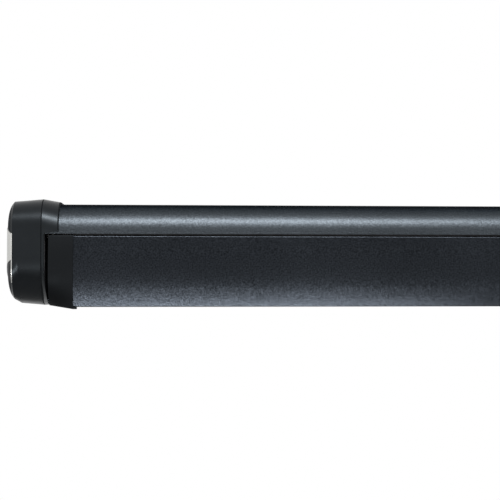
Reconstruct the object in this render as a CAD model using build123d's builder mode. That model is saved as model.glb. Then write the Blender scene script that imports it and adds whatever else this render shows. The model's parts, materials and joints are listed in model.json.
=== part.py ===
"""Roll out awning: a wall-hung cassette with a roller, two folding spring arms, a lead rail and two support legs.

Frame: +X along the awning to the right as seen from in front, -Y out from the wall, +Z up.
The origin lies on the wall plane, in the middle of the centre wall bracket's four bolt holes.
All lengths are millimetres. The awning is drawn shut, as it travels.
"""

from build123d import *
from math import acos, asin, cos, degrees, pi, radians, sin, sqrt, tan
import os

os.makedirs("parts", exist_ok=True)

# Overall sizes
overall_length = 2600.0
open_share = 0.90625  # of both arm links' length: how far the open arms reach out
pitch_angle = 5.0  # the arms and the canopy slope down to the lead rail by this angle
bolt_centre_height = 57.0  # of the wall bolts, above the foot of the lead rail
cut_over = 60.0  # overrun of every cut that passes right through
moving_gap = 0.35  # left between pieces that pass each other
quarter_turn = 90.0

# Case profile: depths are measured out from the wall, heights up from the foot of the lead rail
bracket_thick = 5.0
case_front = 94.0
case_bottom = 5.0
case_top = 117.0
case_nose_radius = 34.0
case_wall = 2.0
case_corner_radius = 3.0
case_inset = 44.0  # from the awning's end to the case profile's end
mouth_depth = 69.0  # where the case's floor stops
lip_height = 82.0  # underside of the lid's lip
lip_length = 9.0
lip_rib_height = 5.0
lip_rib_thick = 1.5
floor_bead_radius = 1.5
port_outer_radius = 3.3
port_bore_radius = 1.7
port_bite = 0.7  # how far a screw port is sunk into the wall that carries it
hook_pocket_low = 102.0
hook_pocket_depth = 13.0
hook_slot_height = 5.0

# End plates, caps and their bright inserts
plate_thick = 8.0
plate_margin = 2.0
plate_toe_radius = 47.0
bearing_boss_radius = 13.0
bearing_boss_length = 6.0
cap_crease = 40.4  # from the awning's end to the cap's ridge
cap_collar_end = 59.6
cap_back = 1.0
cap_front = 98.0
cap_bottom = 0.9
cap_top = 122.6
cap_nose_radius = 34.0
cap_toe_radius = 52.0
cap_back_radius = 5.0
cap_least_radius = 3.0
cap_draft = 2.8  # how much smaller the cap is at its outer rim than at its ridge
cap_heel = 14.0  # from the awning's end: from here to the rim, the cap's underside turns up
cap_chin = 4.0  # how far it turns up
cap_rim_toe_radius = 38.0
cap_dome_height = 12.2
cap_dome_reach = 24.0
crease_groove = 0.8  # width and depth of the fine groove along the ridge
cap_dome_angles = (25.0, 42.0, 60.0, 78.0)
cap_wall = 2.5
leaf_tip = (24.0, 80.0)  # the bright insert's corners, in depth and height
leaf_top = (62.0, 91.0)
leaf_top_front = (100.5, 79.0)
leaf_low_front = (100.5, 8.0)
leaf_low = (78.0, 46.0)
collar_step = 2.4  # how far the collar's free end stands off the case
notch_gap = 3.2  # from the crease to the notch that the lead rail's cap enters
notch_sweep = 3.0  # how far the notch's foot sweeps inwards
notch_sweep_height = 36.0
notch_foot_depth = 66.0
notch_rise = 2.6  # how far the collar's lower edge climbs from the notch to its free end
insert_proud = 0.8
insert_seat = 1.2
insert_gap = 0.12

# Roller, canopy and bearings
roller_depth = 37.0
roller_height = 84.5
roller_radius = 22.0
roller_wall = 1.5
roller_end_inset = 62.0  # from the awning's end to the roller tube's end
roller_groove_radius = 3.0
roller_groove_slot = 2.4
canopy_inset = 100.0  # from the awning's end to the canopy's edge
canopy_thick = 0.5
canopy_spare = 100.0  # cloth left on the roller when the awning is fully out
fit_gap = 0.05
axle_radius = 6.0
bush_radius = 9.0
bush_flange_radius = 12.0
bush_flange_thick = 1.5
plug_length = 34.0
plug_flange_thick = 3.0

# Crank gear at the right end
gear_module = 2.0
gear_teeth = 14
tooth_root_width = 4.0
tooth_flank_angle = 70.0
tooth_tip_gap = 0.2  # the teeth stop short of the worm's rings by this, at any turn
tooth_sink = 0.8
thread_flank_angle = 20.0
worm_pitch_radius = 7.0
gear_face = 8.0
worm_length = 24.0
spindle_radius = 4.5
spindle_lean = 10.0
spindle_drop = 104.0  # from the worm's middle to the crank eye's middle
eye_outer_radius = 12.0
eye_bore_radius = 7.5
eye_thick = 9.0
eye_web = 2.0  # left between the eye's bore and the spindle's end
gearbox_wall = 3.0
gearbox_gap = 1.2
gearbox_depth = 22.0

# Folding arms
shoulder_inset = 110.0  # from the awning's end to the shoulder pin
shoulder_depth = 24.0
shoulder_height = 30.0
arm_pitch = 30.0  # between the folded upper arm and forearm
elbow_inset = 70.0  # from the awning's middle to the elbow pins while the arms are shut
arm_width = 26.0
arm_height = 32.0
arm_corner = 9.0
arm_wall = 2.0
knuckle_radius = 12.5
knuckle_height = 22.0
knuckle_reach = 40.0  # from the pin to the tube's end
knuckle_collar = 6.0
knuckle_plug = 26.0
knuckle_plug_gap = 0.3
arm_pin_radius = 6.0
arm_pin_head = 8.5
arm_pin_head_thick = 1.5
running_gap = 0.06
ear_thick = 4.4
ear_gap = 0.4
elbow_reach = 44.0
elbow_plate_radius = 19.0
elbow_drum_radius = 14.0
strap_thick = 1.6
strap_height = 14.0
strap_wrap = 190.0  # how far the strap wraps round the drum while the arm is shut
rivet_radius = 2.4
rivet_head_radius = 4.2
rivet_head_thick = 1.4
rivet_places = ((-30.0, -6.5), (-30.0, 6.5), (-18.0, -6.5), (-18.0, 6.5))
shoulder_rivet_height = 31.0
wrist_rivet_height = 26.2
joint_base_thick = 2.0
joint_base_low = 14.0
joint_base_high = 47.6
joint_base_reach = (-36.0, 14.0)  # from the pin, along the awning
wrist_base_low = 10.0
wrist_base_high = 45.0
joint_ear_radius = 13.0
spring_radius = 9.0
spring_bore_radius = 5.5
spring_length = 460.0
spring_rod_radius = 2.5

# Lead rail
rail_inset = 76.0
rail_web_depth = 70.0
rail_wall = 2.0
rail_top = 80.0
rail_web_bottom = 8.0
rail_top_front = 94.0
rail_mid_front = 97.0
rail_mid_height = 43.0
rail_bottom_front = 92.9
rail_skirt = 0.6  # how far the front panel reaches below the level that heights are measured from
rail_top_radius = 1.7
rail_foot_radius = 0.8
keder_height = 53.3
keder_groove_radius = 4.5
keder_bore_radius = 3.2
keder_slot = 2.2
keder_radius = 2.9
keder_depth = 65.5
keder_tail = 4.6
rail_cap_inset = 48.2
rail_cap_proud = 1.2
rail_cap_low = 3.0  # how far the cap hangs below the foot of the rail
rail_cap_corner = 3.0
rail_cap_toe = (92.0, 15.0)  # the middle and the end of the toe's arc at the cap's outer face
rail_cap_toe_end = (76.0, 1.0)
rail_cap_lip = (86.0, 94.5)
rail_cap_lip_length = 4.0
cap_screw_head = 3.4
cap_screw_sink = 2.6
cap_screw_length = 50.0
rail_port_height = 75.1
rail_port_depths = (77.0, 87.0)

# Support legs: the left one lies in the rail's lower level and the right one in its upper level
leg_depth = 81.6
leg_width = 15.0
leg_height = 24.0
leg_corner = 5.5
leg_wall = 1.5
leg_low_level = 18.0
leg_level_pitch = 32.0
leg_pivot_inset = 95.0
leg_pin_radius = 3.0
leg_eye_radius = 11.5
leg_tube_start = 20.0  # from the pivot to the outer tube's end
leg_outer_end = 62.0  # from the awning's middle to the outer tube's free end
leg_slide_gap = 0.35
leg_inner_wall = 1.4
leg_travel = 1000.0
leg_inner_start = 60.0
leg_inner_end = 42.0
foot_end = 10.0
foot_taper_share = 0.35  # of the foot's length that narrows to its tip
foot_tip_share = 0.8  # of the leg's section that is left at the tip
collar_width = 16.8
collar_height = 31.0
collar_length = 46.0
collar_overlap = 38.0
lever_width = 10.0
lever_length = 34.0
lever_thick = 3.0
lever_barrel_radius = 1.6
lever_pin_radius = 1.0
lever_hinge_inset = 8.0
hanger_thick = 1.5
hanger_width = 34.0
hanger_drop = 9.0
hanger_gap = 0.8
clip_width = 22.0
clip_thick = 1.3
clip_places = (0.3, 0.7)  # shares of the outer tube's length
clip_gap = 0.3

# Wall brackets
bracket_width = 100.0
bracket_top = 113.0
bracket_foot_length = 34.0
bracket_foot_thick = 3.0
bracket_inset = 300.0  # from the awning's end to the outer brackets' middles
bolt_spacing_x = 70.0
bolt_spacing_z = 54.0
bolt_hole_radius = 3.3
bolt_sink_radius = 6.2
sink_angle = 45.0
hook_thick = 3.0
hook_gap = 0.3
clamp_screw_depth = 22.0
clamp_screw_radius = 2.5
clamp_head_radius = 4.6
clamp_screw_length = 7.5

# Worked out from the sizes above
half_length = overall_length / 2
roller_length = overall_length - roller_end_inset * 2
canopy_width = overall_length - canopy_inset * 2
bracket_spacing = half_length - bracket_inset
arm_link = half_length - shoulder_inset - elbow_inset  # pin to pin, the same for upper arm and forearm
projection = open_share * arm_link * 2 - arm_pitch  # how far the lead rail travels
canopy_length = projection + canopy_spare
floor_z = -bolt_centre_height
shoulder_x = -half_length + shoulder_inset
rest_angle = degrees(asin(arm_pitch / (2 * arm_link)))
open_angle = degrees(asin((projection + arm_pitch) / (2 * arm_link))) - rest_angle
elbow_x = shoulder_x + arm_link * cos(radians(rest_angle))
roll_radius = sqrt(roller_radius**2 + canopy_thick * canopy_length / pi)
gear_pitch_radius = gear_module * gear_teeth / 2
gear_centres = gear_pitch_radius + worm_pitch_radius
up_tilted = (0, -sin(radians(pitch_angle)), cos(radians(pitch_angle)))


def at(x, depth, height):
    """A point given by its place along the awning, its depth from the wall and its height."""
    return Vector(x, -depth, floor_z + height)


def section(x):
    """A plane across the awning: local x is the depth from the wall, local y the height."""
    return Plane(origin=at(x, 0, 0), x_dir=(0, -1, 0), z_dir=(-1, 0, 0))


def front_view(depth):
    """A plane facing out from the wall: local x is along the awning, local y the height."""
    return Plane(origin=at(0, depth, 0), x_dir=(1, 0, 0), z_dir=(0, -1, 0))


def write(piece, name):
    """Labels a finished piece and writes its STEP file."""
    piece.part.label = name
    export_step(piece.part, f"parts/{name}.step")


def write_mirrored(piece, name):
    """Writes the right-hand twin of a left-hand piece."""
    with BuildPart() as twin:
        mirror(piece.part, about=Plane.YZ)
    write(twin, name)


def both_sides(*pieces):
    """Left-hand pieces and their right-hand twins, as one node's part."""
    with BuildPart() as pair:
        for piece in pieces:
            add(piece.part)
            mirror(piece.part, about=Plane.YZ)
    return pair


def closed_outline(back, front, bottom, top, nose_radius, toe_radius, back_radius):
    """The closed outline that the case and its caps share: a big nose at the top front and a toe below it."""
    slant = 1 - sqrt(0.5)
    with BuildLine() as outline:
        Line((back, bottom + back_radius), (back, top - back_radius))
        ThreePointArc(
            (back, top - back_radius),
            (back + slant * back_radius, top - slant * back_radius),
            (back + back_radius, top),
        )
        Line((back + back_radius, top), (front - nose_radius, top))
        ThreePointArc(
            (front - nose_radius, top),
            (front - slant * nose_radius, top - slant * nose_radius),
            (front, top - nose_radius),
        )
        Line((front, top - nose_radius), (front, bottom + toe_radius))
        ThreePointArc(
            (front, bottom + toe_radius),
            (front - slant * toe_radius, bottom + slant * toe_radius),
            (front - toe_radius, bottom),
        )
        Line((front - toe_radius, bottom), (back + back_radius, bottom))
        ThreePointArc(
            (back + back_radius, bottom),
            (back + slant * back_radius, bottom + slant * back_radius),
            (back, bottom + back_radius),
        )
    return outline.line


def case_outline(margin=0.0):
    """The case's outside, grown by margin."""
    return closed_outline(
        bracket_thick - margin,
        case_front + margin,
        case_bottom - margin,
        case_top + margin,
        case_nose_radius + margin,
        case_corner_radius + margin,
        case_corner_radius + margin,
    )


def cap_outline(inset, chin=0.0, toe_radius=cap_toe_radius):
    """The end cap's outside at its ridge, drawn in by inset all round and turned up by chin below."""
    return closed_outline(
        cap_back + inset,
        cap_front - inset,
        cap_bottom + inset + chin,
        cap_top - inset,
        max(cap_nose_radius - inset, cap_least_radius),
        max(toe_radius - inset, cap_least_radius),
        max(cap_back_radius - inset, cap_least_radius),
    )


# Screw ports of the case, in depth and height, each hugging a wall and clear of the roller and the arms
nose_centre = (case_front - case_nose_radius, case_top - case_nose_radius)
port_stand = port_outer_radius - port_bite  # from a wall's inner face to a port's middle
port_reach = (case_nose_radius - case_wall - port_stand) * sqrt(0.5)
case_ports = (
    (bracket_thick + case_wall + port_stand, shoulder_height + arm_height / 2 + port_outer_radius + case_wall),
    (nose_centre[0] + port_reach, nose_centre[1] + port_reach),
    (bracket_thick + case_wall + port_stand, case_bottom + case_wall + port_stand),
    (hook_pocket_depth + port_stand, case_top - case_wall - port_stand),
)


# The case

with BuildPart() as case_profile:
    with BuildSketch(section(0)):
        with BuildLine():
            add(case_outline())
        make_face()
        with BuildLine(mode=Mode.PRIVATE) as inside:
            add(case_outline(-case_wall))
        make_face(inside.line, mode=Mode.SUBTRACT)
        with Locations((mouth_depth, lip_height)):
            Rectangle(cut_over, case_top + cut_over, align=(Align.MIN, Align.MAX), mode=Mode.SUBTRACT)
        with Locations((case_front, lip_height)):
            Rectangle(lip_length, case_wall, align=(Align.MAX, Align.MIN))
        with Locations((case_front - lip_length, lip_height)):
            Rectangle(lip_rib_thick, lip_rib_height, align=Align.MIN)
        with Locations((mouth_depth - floor_bead_radius, case_bottom + floor_bead_radius)):
            Circle(floor_bead_radius)
        with Locations((hook_pocket_depth, hook_pocket_low)):
            Rectangle(case_wall, case_top - case_wall - hook_pocket_low, align=(Align.MAX, Align.MIN))
            Rectangle(hook_pocket_depth - bracket_thick, case_wall, align=(Align.MAX, Align.MIN))
        with Locations((bracket_thick, hook_pocket_low + case_wall)):
            Rectangle(case_wall, hook_slot_height, align=Align.MIN, mode=Mode.SUBTRACT)
        with Locations(*case_ports):
            Circle(port_outer_radius)
        with Locations(*case_ports):
            Circle(port_bore_radius, mode=Mode.SUBTRACT)
    extrude(amount=half_length - case_inset, both=True)

with BuildPart() as lip_seal:
    with BuildSketch(section(0)):
        with Locations((case_front - case_wall, lip_height)):
            Rectangle(
                lip_length - lip_rib_thick - case_wall,
                lip_height - rail_top - moving_gap,
                align=(Align.MAX, Align.MAX),
            )
    extrude(amount=half_length - rail_inset - moving_gap * 2, both=True)
write(lip_seal, "case_lip_seal")

with BuildPart() as end_plate:
    with BuildSketch(section(-half_length + case_inset)):
        with BuildLine():
            add(closed_outline(
                bracket_thick + plate_margin,
                case_front - plate_margin,
                case_bottom + plate_margin,
                case_top - plate_margin,
                case_nose_radius - plate_margin,
                plate_toe_radius,
                case_corner_radius,
            ))
        make_face()
        with Locations((roller_depth, roller_height)):
            Circle(bush_radius + fit_gap, mode=Mode.SUBTRACT)
        with Locations(*case_ports):
            Circle(port_bore_radius + running_gap, mode=Mode.SUBTRACT)
    extrude(amount=plate_thick)
    with BuildSketch(section(-half_length + case_inset - plate_thick)):
        with Locations((roller_depth, roller_height)):
            Circle(bearing_boss_radius)
            Circle(bush_radius + fit_gap, mode=Mode.SUBTRACT)
    extrude(amount=bearing_boss_length)
write(end_plate, "left_end_plate")
write_mirrored(end_plate, "right_end_plate")

with BuildPart() as plate_screws:
    screw_head_radius = 3.4
    screw_head_thick = 2.4
    screw_length = 24.0
    for side in (-1, 1):
        for place in case_ports:
            outer_face = side * (half_length - case_inset + plate_thick)
            shaft_plane = Plane(origin=at(outer_face, *place), z_dir=(-side, 0, 0))
            with BuildSketch(shaft_plane):
                Circle(port_bore_radius - running_gap)
            extrude(amount=screw_length)
            with BuildSketch(shaft_plane):
                Circle(screw_head_radius)
            extrude(amount=-screw_head_thick)


# End caps: a drafted barrel, a shallow dome on its outer side and a tapered collar over the case's end

def cap_rings(grow, shift):
    """The dome's rings from rim to plateau: how far each is drawn in, and its distance from the end."""
    rim = 1 - cos(radians(cap_dome_angles[0]))
    rings = []
    for angle in cap_dome_angles:
        inset = cap_dome_reach * (1 - cos(radians(angle)) - rim) + cap_draft - grow
        rings.append((inset, cap_dome_height * (1 - sin(radians(angle))) + insert_proud + shift))
    return rings


def cap_body(grow, shift):
    """The cap's solid, dome and drafted barrel, grown by grow, its dome shifted inwards by shift."""
    rings = cap_rings(grow, shift)
    rim_inset, rim_distance = rings[0]
    heel_distance = cap_heel + shift
    heel_share = (heel_distance - rim_distance) / (cap_crease - rim_distance)
    heel_inset = rim_inset + (-grow - rim_inset) * heel_share
    with BuildPart() as body:
        for inset, distance in rings:
            with BuildSketch(section(-half_length + distance)):
                with BuildLine():
                    add(cap_outline(inset, cap_chin, cap_rim_toe_radius))
                make_face()
        loft()
        for start, end in (
            ((rim_inset, rim_distance, cap_chin, cap_rim_toe_radius), (heel_inset, heel_distance, 0, cap_toe_radius)),
            ((heel_inset, heel_distance, 0, cap_toe_radius), (-grow, cap_crease, 0, cap_toe_radius)),
        ):
            for inset, distance, chin, toe_radius in (start, end):
                with BuildSketch(section(-half_length + distance)):
                    with BuildLine():
                        add(cap_outline(inset, chin, toe_radius))
                    make_face()
            loft(ruled=True)
    return body.part


def leaf_prism(gap):
    """The bright insert's outline, seen from the side, as a prism that starts at the dome's rim."""
    with BuildPart() as prism:
        with BuildSketch(section(-half_length + cap_rings(0, 0)[0][1])):
            with BuildLine():
                ThreePointArc(leaf_low_front, leaf_low, leaf_tip)
                ThreePointArc(leaf_tip, leaf_top, leaf_top_front)
                Line(leaf_top_front, leaf_low_front)
            make_face()
            if gap:
                offset(amount=gap)
        extrude(amount=cap_crease)
    return prism.part


insert_floor = cap_body(-insert_seat, insert_seat)

with BuildPart() as end_cap:
    add(cap_body(0, 0))
    with BuildSketch(section(-half_length + cap_crease)):
        with BuildLine():
            add(cap_outline(0))
        make_face()
    with BuildSketch(section(-half_length + cap_collar_end)):
        with BuildLine():
            add(case_outline(collar_step))
        make_face()
    loft(ruled=True)
    with BuildSketch(section(-half_length + cap_crease - crease_groove / 2)):
        with BuildLine():
            add(cap_outline(-crease_groove))
        make_face()
        with BuildLine(mode=Mode.PRIVATE) as groove_floor:
            add(cap_outline(crease_groove))
        make_face(groove_floor.line, mode=Mode.SUBTRACT)
    extrude(amount=-crease_groove, mode=Mode.SUBTRACT)
    add(cap_body(-cap_wall, cap_wall), mode=Mode.SUBTRACT)
    with BuildSketch(section(-half_length + cap_collar_end)):
        with BuildLine():
            add(case_outline())
        make_face()
    extrude(amount=cap_collar_end - cap_crease + cap_wall, mode=Mode.SUBTRACT)
    notch_x = -half_length + cap_crease + notch_gap
    collar_end_x = -half_length + cap_collar_end
    with BuildSketch(front_view(notch_foot_depth)):
        with BuildLine():
            Polyline(
                (notch_x + notch_sweep, -cut_over),
                (collar_end_x + cut_over, -cut_over),
                (collar_end_x + cut_over, lip_height + notch_rise),
                (collar_end_x, lip_height + notch_rise),
                (notch_x, lip_height),
                (notch_x, notch_sweep_height),
                (notch_x + notch_sweep, 0),
                (notch_x + notch_sweep, -cut_over),
            )
        make_face()
    extrude(amount=cut_over, mode=Mode.SUBTRACT)
    add(leaf_prism(insert_gap) - insert_floor, mode=Mode.SUBTRACT)
write(end_cap, "left_end_cap")

with BuildPart() as cap_insert:
    add((leaf_prism(0) & cap_body(insert_proud, -insert_proud)) - insert_floor)
write(both_sides(cap_insert), "cap_inserts")


# Bearings and roller

def ring(plane, outer, inner, length):
    """A plain ring, or a disc where inner is 0, that rises from a plane."""
    with BuildPart() as body:
        with BuildSketch(plane):
            Circle(outer)
            if inner:
                Circle(inner, mode=Mode.SUBTRACT)
        extrude(amount=length)
    return body.part


def roller_plane(distance):
    """A plane across the roller's axis, facing the left end, at a distance from that end."""
    return Plane(origin=at(-half_length + distance, roller_depth, roller_height), z_dir=(-1, 0, 0))


boss_end = case_inset - plate_thick - bearing_boss_length
bush_inner_face = case_inset + bush_flange_thick
roller_inset = half_length - roller_length / 2

with BuildPart() as bush:
    add(ring(roller_plane(case_inset), bush_radius, axle_radius + fit_gap, plate_thick + bearing_boss_length))
    add(ring(roller_plane(bush_inner_face), bush_flange_radius, axle_radius + fit_gap, bush_flange_thick))
write(both_sides(bush), "roller_bushes")

with BuildPart() as roller_tube:
    with BuildSketch(roller_plane(half_length)):
        Circle(roller_radius)
        Circle(roller_radius - roller_wall, mode=Mode.SUBTRACT)
        with Locations((0, -roller_radius + roller_groove_radius + roller_wall / 2)):
            Circle(roller_groove_radius + roller_wall / 2)
            Circle(roller_groove_radius, mode=Mode.SUBTRACT)
        with Locations((0, -roller_radius)):
            Rectangle(roller_groove_slot, roller_groove_radius * 2, mode=Mode.SUBTRACT)
    extrude(amount=roller_length / 2, both=True)
write(roller_tube, "roller_tube")

with BuildPart() as fabric_roll:
    with BuildSketch(roller_plane(half_length)):
        Circle(roll_radius)
        Circle(roller_radius, mode=Mode.SUBTRACT)
    extrude(amount=canopy_width / 2, both=True)
write(fabric_roll, "fabric_roll")

plug_fit = roller_radius - roller_wall - running_gap
with BuildPart() as idler_plug:
    add(ring(roller_plane(roller_inset), roller_radius, 0, plug_flange_thick))
    add(ring(roller_plane(roller_inset), axle_radius, 0, roller_inset - boss_end))
    with BuildSketch(roller_plane(roller_inset)):
        Circle(plug_fit)
        with Locations((0, -roller_radius)):
            Rectangle(plug_fit, roller_groove_radius * 4 + roller_wall * 2, mode=Mode.SUBTRACT)
    extrude(amount=-plug_length)
write(idler_plug, "roller_idler_plug")

with BuildPart() as drive_plug:
    mirror(idler_plug.part, about=Plane.YZ)
    wheel_start = half_length - case_inset + plate_thick + bearing_boss_length + gearbox_gap
    drive_end_plane = Plane(origin=at(half_length - boss_end, roller_depth, roller_height), z_dir=(1, 0, 0))
    add(ring(drive_end_plane, axle_radius, 0, gearbox_gap + gear_face))
write(drive_plug, "roller_drive_plug")

# Crank gear: a worm on a leaning spindle turns the roller's wheel. Its axis lies across the wheel's face.
wheel_mid = wheel_start + gear_face / 2
lean = radians(spindle_lean)
spindle_down = Vector(0, -sin(lean), -cos(lean))
worm_centre = at(
    wheel_mid,
    roller_depth + gear_centres * cos(lean),
    roller_height + gear_centres * sin(lean),
)
spindle_length = spindle_drop - eye_bore_radius - eye_web
tooth_height = gear_module
tooth_length = tooth_height - tooth_tip_gap + tooth_sink

with BuildPart() as worm_wheel:
    with BuildSketch(Plane(origin=at(wheel_start, roller_depth, roller_height), z_dir=(1, 0, 0))):
        Circle(gear_pitch_radius - tooth_height)
        with PolarLocations(gear_pitch_radius - tooth_tip_gap - tooth_length / 2, gear_teeth):
            Trapezoid(tooth_root_width, tooth_length, tooth_flank_angle, rotation=-quarter_turn)
        Circle(axle_radius, mode=Mode.SUBTRACT)
    extrude(amount=gear_face)
write(worm_wheel, "worm_wheel")

with BuildPart() as crank_worm:
    worm_axis = Plane(origin=worm_centre, x_dir=(1, 0, 0), z_dir=spindle_down)
    worm_top = Plane(origin=worm_centre - spindle_down * (worm_length / 2), x_dir=(1, 0, 0), z_dir=spindle_down)
    with BuildSketch(worm_top):
        Circle(worm_pitch_radius - tooth_height / 2)
    extrude(amount=worm_length)
    with BuildSketch(worm_axis):
        Circle(spindle_radius)
    extrude(amount=spindle_length)
    thread_count = round(worm_length / (pi * gear_module))
    for i in range(thread_count):
        crest = worm_top.origin + spindle_down * ((i + 0.5) * worm_length / thread_count)
        with BuildSketch(Plane(origin=crest, x_dir=(1, 0, 0), z_dir=spindle_down)):
            Circle(worm_pitch_radius)
        extrude(amount=gear_module / 2, both=True, taper=thread_flank_angle)
write(crank_worm, "crank_worm")

with BuildPart() as crank_eye:
    eye_centre = worm_centre + spindle_down * spindle_drop
    with BuildSketch(Plane(origin=eye_centre, x_dir=spindle_down, z_dir=(1, 0, 0))):
        Circle(eye_outer_radius)
    extrude(amount=eye_thick / 2, both=True)
    with BuildSketch(Plane(origin=eye_centre, x_dir=(1, 0, 0), z_dir=-spindle_down)):
        Circle(spindle_radius + cap_wall)
    extrude(amount=eye_outer_radius + cap_wall)
    with BuildSketch(Plane(origin=eye_centre, x_dir=spindle_down, z_dir=(1, 0, 0))):
        Circle(eye_bore_radius)
    extrude(amount=eye_thick, both=True, mode=Mode.SUBTRACT)
    with BuildSketch(worm_axis):
        Circle(spindle_radius)
    extrude(amount=spindle_length, mode=Mode.SUBTRACT)
write(crank_eye, "crank_eye")

with BuildPart() as right_cap:
    mirror(end_cap.part, about=Plane.YZ)
    with BuildSketch(worm_axis):
        Circle(spindle_radius + gearbox_gap)
    extrude(amount=spindle_drop, mode=Mode.SUBTRACT)
write(right_cap, "right_end_cap")

with BuildPart() as gearbox:
    box_back = roller_depth - gear_pitch_radius - tooth_height - gearbox_gap
    box_front = roller_depth + gear_centres + worm_pitch_radius + gearbox_gap * 2
    box_low = roller_height - gear_pitch_radius - tooth_height - gearbox_gap
    box_high = roller_height + gear_pitch_radius + tooth_height + gearbox_gap
    plate_face = half_length - case_inset + plate_thick
    box_corner = (box_back - gearbox_wall, box_low - gearbox_wall)
    with BuildSketch(section(plate_face)):
        with Locations(box_corner):
            Rectangle(
                box_front - box_back + gearbox_wall * 2, box_high - box_low + gearbox_wall * 2, align=Align.MIN
            )
    extrude(amount=-gearbox_depth)
    with BuildSketch(section(plate_face)):
        with Locations((box_back, box_low)):
            Rectangle(box_front - box_back, box_high - box_low, align=Align.MIN)
    extrude(amount=-gearbox_depth + gearbox_wall, mode=Mode.SUBTRACT)
    with BuildSketch(worm_axis):
        Circle(spindle_radius + fit_gap)
    extrude(amount=spindle_drop, mode=Mode.SUBTRACT)
write(gearbox, "gearbox_housing")


# Folding arms. The left arm is drawn, and the right one mirrored. Each arm has a plane of its own that leans
# with the pitch angle: in it, local x runs along the awning and local y runs out from the wall.

arm_out = Vector(0, -cos(radians(pitch_angle)), -sin(radians(pitch_angle)))
arm_up = Vector(*up_tilted)
shoulder_point = at(shoulder_x, shoulder_depth, shoulder_height)
knuckle_half = knuckle_height / 2
ear_start = knuckle_half + ear_gap
ear_end = ear_start + ear_thick


def arm_plane(along, out, level=0.0):
    """A plane parallel to the arm's own, with its origin along and out from the shoulder pin."""
    origin = shoulder_point + Vector(along, 0, 0) + arm_out * out + arm_up * level
    return Plane(origin=origin, x_dir=(1, 0, 0), z_dir=-arm_up)


def tube_plane(along, out):
    """A plane across an arm's tube, facing along the awning: local x runs out, local y up."""
    return Plane(origin=shoulder_point + Vector(along, 0, 0) + arm_out * out, x_dir=arm_out, z_dir=(-1, 0, 0))


elbow_along = elbow_x - shoulder_x
tube_end = elbow_along - elbow_reach


def arm_tube(out):
    """An upper arm's or forearm's tube."""
    with BuildPart() as tube:
        with BuildSketch(tube_plane(knuckle_reach, out)):
            RectangleRounded(arm_width, arm_height, arm_corner)
            RectangleRounded(arm_width - arm_wall * 2, arm_height - arm_wall * 2, arm_corner - arm_wall,
                             mode=Mode.SUBTRACT)
        extrude(amount=-(tube_end - knuckle_reach))
    return tube


def knuckle(out):
    """A cast end with a bored barrel: it plugs into the tube by the shoulder or the wrist."""
    with BuildPart() as cast:
        with BuildSketch(arm_plane(0, out, knuckle_half)):
            Circle(knuckle_radius)
            with Locations((0, 0)):
                Rectangle(knuckle_reach, knuckle_radius * 2 - arm_wall, align=(Align.MIN, Align.CENTER))
            Circle(arm_pin_radius + running_gap, mode=Mode.SUBTRACT)
        extrude(amount=knuckle_height)
        with BuildSketch(tube_plane(knuckle_reach, out)):
            RectangleRounded(arm_width, arm_height, arm_corner)
        extrude(amount=knuckle_collar)
        with BuildSketch(tube_plane(knuckle_reach, out)):
            RectangleRounded(arm_width - arm_wall * 2 - running_gap * 2, arm_height - arm_wall * 2 - running_gap * 2,
                             arm_corner - arm_wall)
        extrude(amount=-knuckle_plug)
    return cast


upper_tube = arm_tube(0)
write(upper_tube, "left_upper_arm_tube")
write_mirrored(upper_tube, "right_upper_arm_tube")
fore_tube = arm_tube(arm_pitch)
write(fore_tube, "left_forearm_tube")
write_mirrored(fore_tube, "right_forearm_tube")
shoulder_knuckle = knuckle(0)
write(shoulder_knuckle, "left_shoulder_knuckle")
write_mirrored(shoulder_knuckle, "right_shoulder_knuckle")
wrist_eye = knuckle(arm_pitch)
write(wrist_eye, "left_wrist_eye")
write_mirrored(wrist_eye, "right_wrist_eye")


def elbow_end(out, levels):
    """The cast end at the elbow: a collar and plug for the tube, and plates round the elbow pin."""
    shift = out - arm_pitch / 2
    with BuildPart() as cast:
        with BuildSketch(tube_plane(tube_end, out)):
            RectangleRounded(arm_width, arm_height, arm_corner)
        extrude(amount=-knuckle_collar)
        with BuildSketch(tube_plane(tube_end, out)):
            RectangleRounded(arm_width - arm_wall * 2 - running_gap * 2, arm_height - arm_wall * 2 - running_gap * 2,
                             arm_corner - arm_wall)
        extrude(amount=knuckle_plug)
        for low, high in levels:
            radius = elbow_plate_radius if len(levels) > 1 else elbow_drum_radius
            with BuildSketch(arm_plane(elbow_along, arm_pitch / 2, high)):
                with BuildLine():
                    edge = -elbow_reach + knuckle_collar / 2
                    near = shift - arm_width / 2 + arm_wall
                    far = shift + arm_width / 2 - arm_wall
                    Polyline((edge, near), (0, -radius), (0, radius), (edge, far), (edge, near))
                make_face()
                Circle(radius)
                Circle(arm_pin_radius + running_gap, mode=Mode.SUBTRACT)
            extrude(amount=high - low)
    return cast


elbow_fork = elbow_end(0, ((-ear_end, -ear_start), (ear_start, ear_end)))
write(elbow_fork, "left_elbow_fork")
write_mirrored(elbow_fork, "right_elbow_fork")
elbow_tongue = elbow_end(arm_pitch, ((-knuckle_half, knuckle_half),))
write(elbow_tongue, "left_elbow_tongue")
write_mirrored(elbow_tongue, "right_elbow_tongue")


def pin_through(along, out):
    """A headed pin through a pair of ears, on the arm's plane."""
    with BuildPart() as pin:
        for half in (-1, 1):
            with BuildSketch(arm_plane(along, out)):
                Circle(arm_pin_radius)
            extrude(amount=half * ear_end)
            with BuildSketch(arm_plane(along, out, half * ear_end)):
                Circle(arm_pin_head)
            extrude(amount=-half * arm_pin_head_thick)
    return pin


elbow_pin = pin_through(elbow_along, arm_pitch / 2)
write(elbow_pin, "left_elbow_pin")
write_mirrored(elbow_pin, "right_elbow_pin")

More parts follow.
